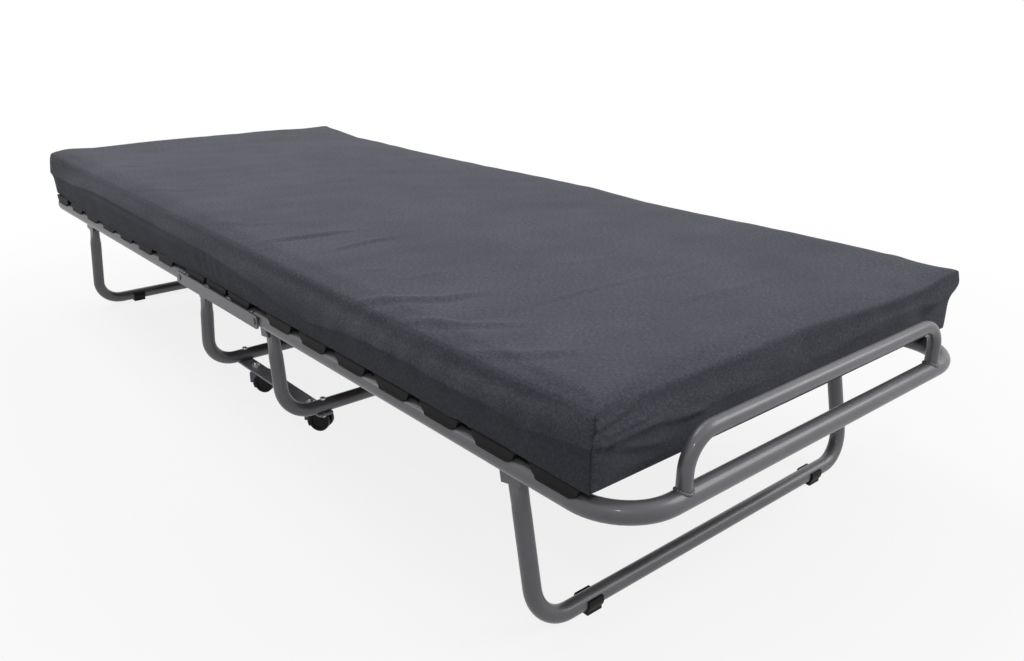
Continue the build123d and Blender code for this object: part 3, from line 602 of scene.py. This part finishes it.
def fold_heights(u, v, folds):
    """How far folds lift the points (u, v).

    A point belongs to the nearest run of a fold's line.  The cross-section is a hump with a shallow valley on
    the line's right, and the fold rises and dies away along the line.
    """
    total = np.zeros(len(u))
    for height, width, start_share, line in folds:
        line = np.array(line, float)
        runs = np.diff(line, axis=0)
        lengths = np.linalg.norm(runs, axis=1)
        before = np.concatenate([[0], np.cumsum(lengths)])
        nearest = np.full(len(u), np.inf)
        side = np.zeros(len(u))
        along = np.zeros(len(u))
        for start, run, length, offset in zip(line, runs, lengths, before):
            du, dv = u - start[0], v - start[1]
            t = np.clip((du * run[0] + dv * run[1]) / length**2, 0, 1)
            gap = np.hypot(du - t * run[0], dv - t * run[1])
            closer = gap < nearest
            nearest = np.where(closer, gap, nearest)
            side = np.where(closer, np.sign(dv * run[0] - du * run[1]), side)
            along = np.where(closer, offset + t * length, along)
        share = along / before[-1]
        fade = start_share + (1 - start_share) * smooth_step(share, 0, fold_rise)
        fade = fade * (1 - smooth_step(share, fold_fade, 1))
        s = side * nearest / width
        total += height * fade * (np.exp(-s * s) - valley_share * np.exp(-((s + valley_offset) ** 2)))
    return total


def unevenness(u, v, dents):
    """Soft dents: a sum of waves of seeded random length, from the least to four times it, turn and phase."""
    height, seed, least = dents
    pick = np.random.default_rng(seed)
    lengths = least * (1 + 3 * pick.random(dent_waves))
    turns, phases = 2 * pi * pick.random((2, dent_waves))
    total = np.zeros(len(u))
    for length, turned, phase in zip(lengths, turns, phases):
        total += np.sin(2 * pi / length * (u * cos(turned) + v * sin(turned)) + phase)
    return height * total / dent_waves**0.5


def rim_free(h):
    """1 over the middle of a side and 0 at its upper and lower edges."""
    return smooth_step(h, 0, side_dent_rim) * (1 - smooth_step(h, pad_thickness - side_dent_rim, pad_thickness))


def creased(points, rest):
    """The cover's folds, dents, scallops and hem, added to its points.

    Each goes along the normal of its own side of the box: folds and dents of the top lift it, those of the
    ends and the sides push them out.  The hem goes down outside the slat holders, and the far foot corner is
    drawn out to an ear.
    """
    x, y, h = rest.T
    px, py, pz = points.T.copy()
    x_gap, y_gap = pad_half_length - np.abs(x), pad_half_width - np.abs(y)
    on_top = smooth_step(h, 0.9 * pad_thickness, pad_thickness)
    rim = smooth_step(y_gap, 0, top_dent_rim) * smooth_step(x_gap, 0, top_dent_rim)
    pz += on_top * (fold_heights(x, y, top_folds) + rim * unevenness(x, y, top_dents))

    on_side = smooth_step(np.abs(y), pad_half_width - edge_r, pad_half_width)
    on_end = smooth_step(np.abs(x), pad_half_length - edge_r, pad_half_length)
    middle = pad_thickness / 2
    upper = smooth_step(h, 0.5 * middle, middle) * (1 - smooth_step(h, 1.5 * middle, 2 * middle))
    lower = bump_at(h, 0.55 * middle, 0.45 * middle)
    # both waves run unevenly, because a slower wave is added to their phase
    scallops = np.cos(2 * pi * (x - scallop_start) / scallop_pitch + 0.6 * np.sin(x / 47))
    rise_from, rise_to, fade_from, fade_to = scallop_places
    scallops = scallops * smooth_step(x, rise_from, rise_to) * (1 - smooth_step(x, fade_from, fade_to))
    streaks = np.sin(2 * pi * x / streak_pitch + 1.9 * np.sin(x / 23) + h / 30) * bump_at(x, streak_x, streak_spread)
    out = unevenness(x, h, side_dents) * rim_free(h) + scallop_depth * scallops * upper + streak_depth * streaks * lower
    py += np.sign(y) * on_side * out
    end_out = fold_heights(y, h + pad_bottom, foot_folds) * (x > 0) + unevenness(y, h, end_dents) * rim_free(h)
    px += np.sign(x) * on_end * end_out

    ear = bump_at(x, pad_half_length, ear_width) * smooth_step(y, pad_half_width - ear_reach, pad_half_width)
    py += ear * (far_corner_ear_low + (far_corner_ear - far_corner_ear_low) * (h / pad_thickness) ** 3)
    hem = table(hem_drop, np.where(y < 0, x, -x)) * smooth_step(np.abs(y), pad_half_width - 0.3, pad_half_width)
    pz -= hem * (1 - smooth_step(h, 0, hem_share * pad_thickness))
    return np.stack([px, py, pz], axis=-1)


def mesh_object(name, points, faces, material, smooth=True):
    """An object at the origin whose mesh is the given points and faces."""
    mesh = bpy.data.meshes.new(name)
    mesh.from_pydata(points.tolist(), [], [list(f) for f in faces])
    mesh.update()
    mesh.materials.append(material)
    mesh.polygons.foreach_set("use_smooth", np.full(len(mesh.polygons), smooth))
    made = bpy.data.objects.new(name, mesh)
    bpy.context.scene.collection.objects.link(made)
    return made


def read_points(made):
    co = np.zeros(len(made.data.vertices) * 3)
    made.data.vertices.foreach_get("co", co)
    return co.reshape(-1, 3)


def move_points(made, points):
    made.data.vertices.foreach_set("co", points.ravel())
    made.data.update()


def apply_modifiers(made):
    """Replaces an object's mesh by its evaluated one."""
    graph = bpy.context.evaluated_depsgraph_get()
    result = bpy.data.meshes.new_from_object(made.evaluated_get(graph))
    made.modifiers.clear()
    made.data = result


def stuff(made):
    """Cloth under the pressure of the foam, its underside held on the slats and no point moved further than the cap."""
    before = read_points(made)
    held = made.vertex_groups.new(name="held")
    low = np.nonzero(before[:, 2] < (pad_bottom + 1) * MM)[0]
    held.add(low.tolist(), 1.0, "REPLACE")
    cloth = made.modifiers.new("cloth", "CLOTH")
    cloth.settings.quality = 4
    cloth.settings.mass = 0.3
    cloth.settings.tension_stiffness = 25
    cloth.settings.compression_stiffness = 25
    cloth.settings.bending_stiffness = 1.5
    cloth.settings.use_pressure = True
    cloth.settings.uniform_pressure_force = 1.5
    cloth.settings.vertex_group_mass = "held"
    cloth.settings.effector_weights.gravity = 0
    cloth.collision_settings.use_collision = False
    scene = bpy.context.scene
    scene.frame_start = 1
    scene.frame_end = sim_frames
    for step in range(1, sim_frames + 1):
        scene.frame_set(step)
    apply_modifiers(made)
    scene.frame_set(1)
    moved = read_points(made) - before
    length = np.linalg.norm(moved, axis=1, keepdims=True)
    move_points(made, before + moved * np.minimum(1, sim_cap * MM / np.maximum(length, 1e-9)))


even_rows = range(2 * side_row_step, side_rows_end, side_row_step)
lower_rows = np.array([0, *edge_steps, *even_rows, pad_thickness / 2 - ridge_row])
heights = np.concatenate([lower_rows, [pad_thickness / 2], pad_thickness - lower_rows[::-1]])
along_bed, across_bed = stations(pad_half_length, -pad_half_length), stations(pad_half_width, fine_to_y)
box_places, quads = lattice_box([along_bed, across_bed, heights])
cover = mesh_object("whole_cover", pad_form(box_places) * MM, quads, cover_fabric)
kept = cover.data.attributes.new("rest", "FLOAT_VECTOR", "POINT")
kept.data.foreach_set("vector", box_places.ravel())
stuff(cover)
divide = cover.modifiers.new("divide", "SUBSURF")
divide.levels = divide.render_levels = 1
apply_modifiers(cover)
rest = np.zeros(len(cover.data.vertices) * 3)
cover.data.attributes["rest"].data.foreach_get("vector", rest)
rest = rest.reshape(-1, 3)
move_points(cover, creased(read_points(cover) / MM, rest) * MM)


def weave_uv(made):
    """A UV map in metres: each face is laid flat along the two axes that it faces least."""
    mesh = made.data
    normals = np.zeros(len(mesh.polygons) * 3)
    mesh.polygons.foreach_get("normal", normals)
    facing = np.abs(normals.reshape(-1, 3)).argmax(axis=1)
    totals = np.zeros(len(mesh.polygons), int)
    mesh.polygons.foreach_get("loop_total", totals)
    facing = np.repeat(facing, totals)
    corners = np.zeros(len(mesh.loops), int)
    mesh.loops.foreach_get("vertex_index", corners)
    places = read_points(made)[corners]
    across = np.array([[1, 2], [0, 2], [0, 1]])[facing]
    flat = np.take_along_axis(places, across, axis=1)
    mesh.uv_layers.new(name="weave").data.foreach_set("uv", flat.ravel())


def half_of_cover(name, side):
    """The cover's faces on one side of X = 0, closed there by a fan that stays hidden inside."""
    points = read_points(cover)
    mesh = cover.data
    corners = np.zeros(len(mesh.loops), int)
    mesh.loops.foreach_get("vertex_index", corners)
    faces = corners.reshape(-1, 4)
    mine = faces[np.sign(rest[faces, 0].mean(axis=1)) == side]
    edges = np.stack([mine, np.roll(mine, -1, axis=1)], axis=-1).reshape(-1, 2)
    key = np.sort(edges, axis=1)
    _, first, count = np.unique(key, axis=0, return_index=True, return_counts=True)
    rim = edges[first[count == 1]]
    used, packed = np.unique(np.concatenate([mine.ravel(), rim.ravel()]), return_inverse=True)
    mine_packed = packed[: mine.size].reshape(-1, 4)
    rim_packed = packed[mine.size :].reshape(-1, 2)
    centre = points[used[np.unique(rim_packed)]].mean(axis=0)
    fan = np.column_stack([rim_packed[:, ::-1], np.full(len(rim_packed), len(used))])
    made = mesh_object(name, np.vstack([points[used], centre]), [*mine_packed, *fan], cover_fabric)
    weave_uv(made)
    pairs = np.zeros(len(made.data.edges) * 2, int)
    made.data.edges.foreach_get("vertices", pairs)
    on_rim = np.isin(pairs.reshape(-1, 2), rim_packed).all(axis=1)
    sharp = made.data.attributes.new("sharp_edge", "BOOLEAN", "EDGE")
    sharp.data.foreach_set("value", on_rim)
    seam = made.data.attributes.new("near_seam", "FLOAT", "POINT")
    seam.data.foreach_set("value", np.append(near_seam[used], 0))
    return made


# How near each point of the sides is to its sewn corner, in metres: seam_reach on the seam and 0 from there on. The
# cover's material paints shade along the seam from it and lays its row of stitches by it.
x_gap, y_gap = pad_half_length - np.abs(rest[:, 0]), pad_half_width - np.abs(rest[:, 1])
on_walls = np.minimum(x_gap, y_gap) < edge_steps[0] / 4
near_seam = np.where(on_walls, np.clip(seam_reach - np.maximum(x_gap, y_gap), 0, None), 0) * MM

foot_cover = half_of_cover("mattress_cover_foot", 1)
head_cover = half_of_cover("mattress_cover_head", -1)
bpy.data.objects.remove(cover)
for piece, side, name in ((foot_cover, 1, "foot"), (head_cover, -1, "head")):
    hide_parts(f"mattress_{name}", f"mattress_bend_{name}")
    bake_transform(piece)


# Weld beads


def bead_along(name, path, bead_r, ripple, around=10):
    """A weld bead: circles carried along a path, their radius swelling and shrinking once every ripple length.

    The path is an array of points; each circle stands square to the path's direction there.
    """
    ahead = np.roll(path, -1, axis=0) - np.roll(path, 1, axis=0)
    ahead = ahead / np.linalg.norm(ahead, axis=1, keepdims=True)
    sideways = np.cross(ahead, (0.0, 0.0, 1.0))
    sideways = sideways / np.linalg.norm(sideways, axis=1, keepdims=True)
    upward = np.cross(sideways, ahead)
    gone = np.concatenate([[0], np.cumsum(np.linalg.norm(np.diff(path, axis=0), axis=1))])
    radius = bead_r * (1 + 0.14 * np.sin(2 * pi * gone / ripple))
    turns = 2 * pi * np.arange(around) / around
    rings = path[:, None] + radius[:, None, None] * (
        np.cos(turns)[None, :, None] * sideways[:, None] + np.sin(turns)[None, :, None] * upward[:, None]
    )
    index = np.arange(len(path) * around).reshape(len(path), around)
    onward = np.roll(index, -1, axis=0)
    quads = np.stack([index, np.roll(index, -1, axis=1), np.roll(onward, -1, axis=1), onward], axis=-1)
    return mesh_object(name, rings.reshape(-1, 3), quads.reshape(-1, 4), tube_paint)


post_r = (handle_high.x - handle_low.x) / 2
post_y = handle_high.y - post_r
bead_r = 2.4 * MM
bead_ripple = 3.2 * MM
bead_steps = 96
bead_turns = 2 * pi * np.arange(bead_steps) / bead_steps
for name, y in (("near", -post_y), ("far", post_y)):
    # where the handle's upright meets the rail: the upright's circle, at the height of the rail's surface there
    across = post_r * np.cos(bead_turns)
    meeting = np.stack(
        [rail_x + across, y + post_r * np.sin(bead_turns), tube_z + np.sqrt(tube_r**2 - across**2)], axis=-1
    )
    bead = bead_along(f"handle_weld_{name}", meeting, bead_r, bead_ripple)
    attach(bead, "foot_half")


# Floor, light and camera


def floor_material():
    """Plain pale floor that takes the bed's shadow: grey to the light that falls on it, near white to the eye and
    in reflections, and pure white further out, where it meets the background."""
    material = bpy.data.materials.new("studio_floor")
    material.use_nodes = True
    material.node_tree.nodes.clear()
    rays = add_node(material, "ShaderNodeLightPath")
    seen = add_node(
        material,
        "ShaderNodeMath",
        {0: rays.outputs["Is Camera Ray"], 1: rays.outputs["Is Glossy Ray"]},
        operation="ADD",
    )
    coords = add_node(material, "ShaderNodeTexCoord")
    distance = add_node(material, "ShaderNodeVectorMath", {0: coords.outputs["Object"]}, operation="LENGTH")
    share = add_node(
        material,
        "ShaderNodeMapRange",
        {"Value": distance.outputs["Value"], "From Min": 0.8, "From Max": 2.1, "To Min": 0.84, "To Max": 1.0},
        interpolation_type="SMOOTHSTEP",
    )
    lit = add_node(material, "ShaderNodeBsdfDiffuse", {"Color": linear(floor_colour)})
    white = add_node(material, "ShaderNodeBsdfDiffuse", {"Color": linear("#ffffff")})
    glow = add_node(material, "ShaderNodeEmission", {"Color": linear("#ffffff"), "Strength": 1.0})
    look = add_node(material, "ShaderNodeMixShader", {0: share.outputs[0], 1: white.outputs[0], 2: glow.outputs[0]})
    mixed = add_node(material, "ShaderNodeMixShader", {0: seen.outputs[0], 1: lit.outputs[0], 2: look.outputs[0]})
    add_node(material, "ShaderNodeOutputMaterial", {0: mixed.outputs[0]})
    return material


floor_colour = "#68686a"
floor_half = 30.0
floor_corners = np.array([(-1, -1, 0), (1, -1, 0), (1, 1, 0), (-1, 1, 0)]) * floor_half
floor = mesh_object("floor", floor_corners, [(0, 1, 2, 3)], floor_material(), smooth=False)

world = bpy.data.worlds.new("studio")
bpy.context.scene.world = world
world.use_nodes = True
world.node_tree.nodes.clear()
rays = add_node(world, "ShaderNodeLightPath")
shown = add_node(
    world, "ShaderNodeMath", {0: rays.outputs["Is Camera Ray"], 1: rays.outputs["Is Glossy Ray"]}, operation="ADD"
)
through = add_node(
    world, "ShaderNodeMath", {0: shown.outputs[0], 1: rays.outputs["Is Transmission Ray"]}, operation="ADD"
)
ambient = 0.15
strength = add_node(
    world, "ShaderNodeMapRange", {"Value": through.outputs[0], "To Min": ambient, "To Max": 1.0}
)
sky = add_node(world, "ShaderNodeBackground", {"Color": linear("#ffffff"), "Strength": strength.outputs[0]})
add_node(world, "ShaderNodeOutputWorld", {0: sky.outputs[0]})


def softbox(name, place, aim, size, power):
    """A square area lamp at a place, turned towards a point."""
    lamp = bpy.data.lights.new(name, "AREA")
    lamp.shape = "SQUARE"
    lamp.size = size
    lamp.energy = power
    made = bpy.data.objects.new(name, lamp)
    bpy.context.scene.collection.objects.link(made)
    made.location = place
    made.rotation_euler = (Vector(aim) - Vector(place)).to_track_quat("-Z", "Y").to_euler()
    return made


softbox("head_side_softbox", (-2.7, -0.5, 4.2), (0.2, 0, 0.3), 2.6, 102)
softbox("far_side_softbox", (3.0, 3.4, 3.6), (0, 0, 0.3), 2.8, 108)
softbox("near_side_softbox", (-2.6, -2.6, 2.0), (-0.6, -0.4, 0.3), 1.0, 9)
softbox("foot_corner_lamp", (2.3, -2.0, 2.4), (0.9, -0.3, 0.25), 0.25, 11)

lens = bpy.data.cameras.new("camera")
lens.sensor_width = sensor_width
lens.lens = camera_lens
lens.clip_end = 100
camera = bpy.data.objects.new("camera", lens)
bpy.context.scene.collection.objects.link(camera)
forward = Vector(
    (-sin(camera_yaw) * cos(camera_pitch), cos(camera_yaw) * cos(camera_pitch), -sin(camera_pitch))
)
level = Vector((cos(camera_yaw), sin(camera_yaw), 0))
upright = level.cross(forward)
right = level * cos(camera_roll) + upright * sin(camera_roll)
up = upright * cos(camera_roll) - level * sin(camera_roll)
turn = Matrix((right, up, -forward)).transposed()
camera.matrix_world = Matrix.Translation(camera_place) @ turn.to_4x4()
bpy.context.scene.camera = camera
bpy.context.scene.view_settings.view_transform = "Standard"
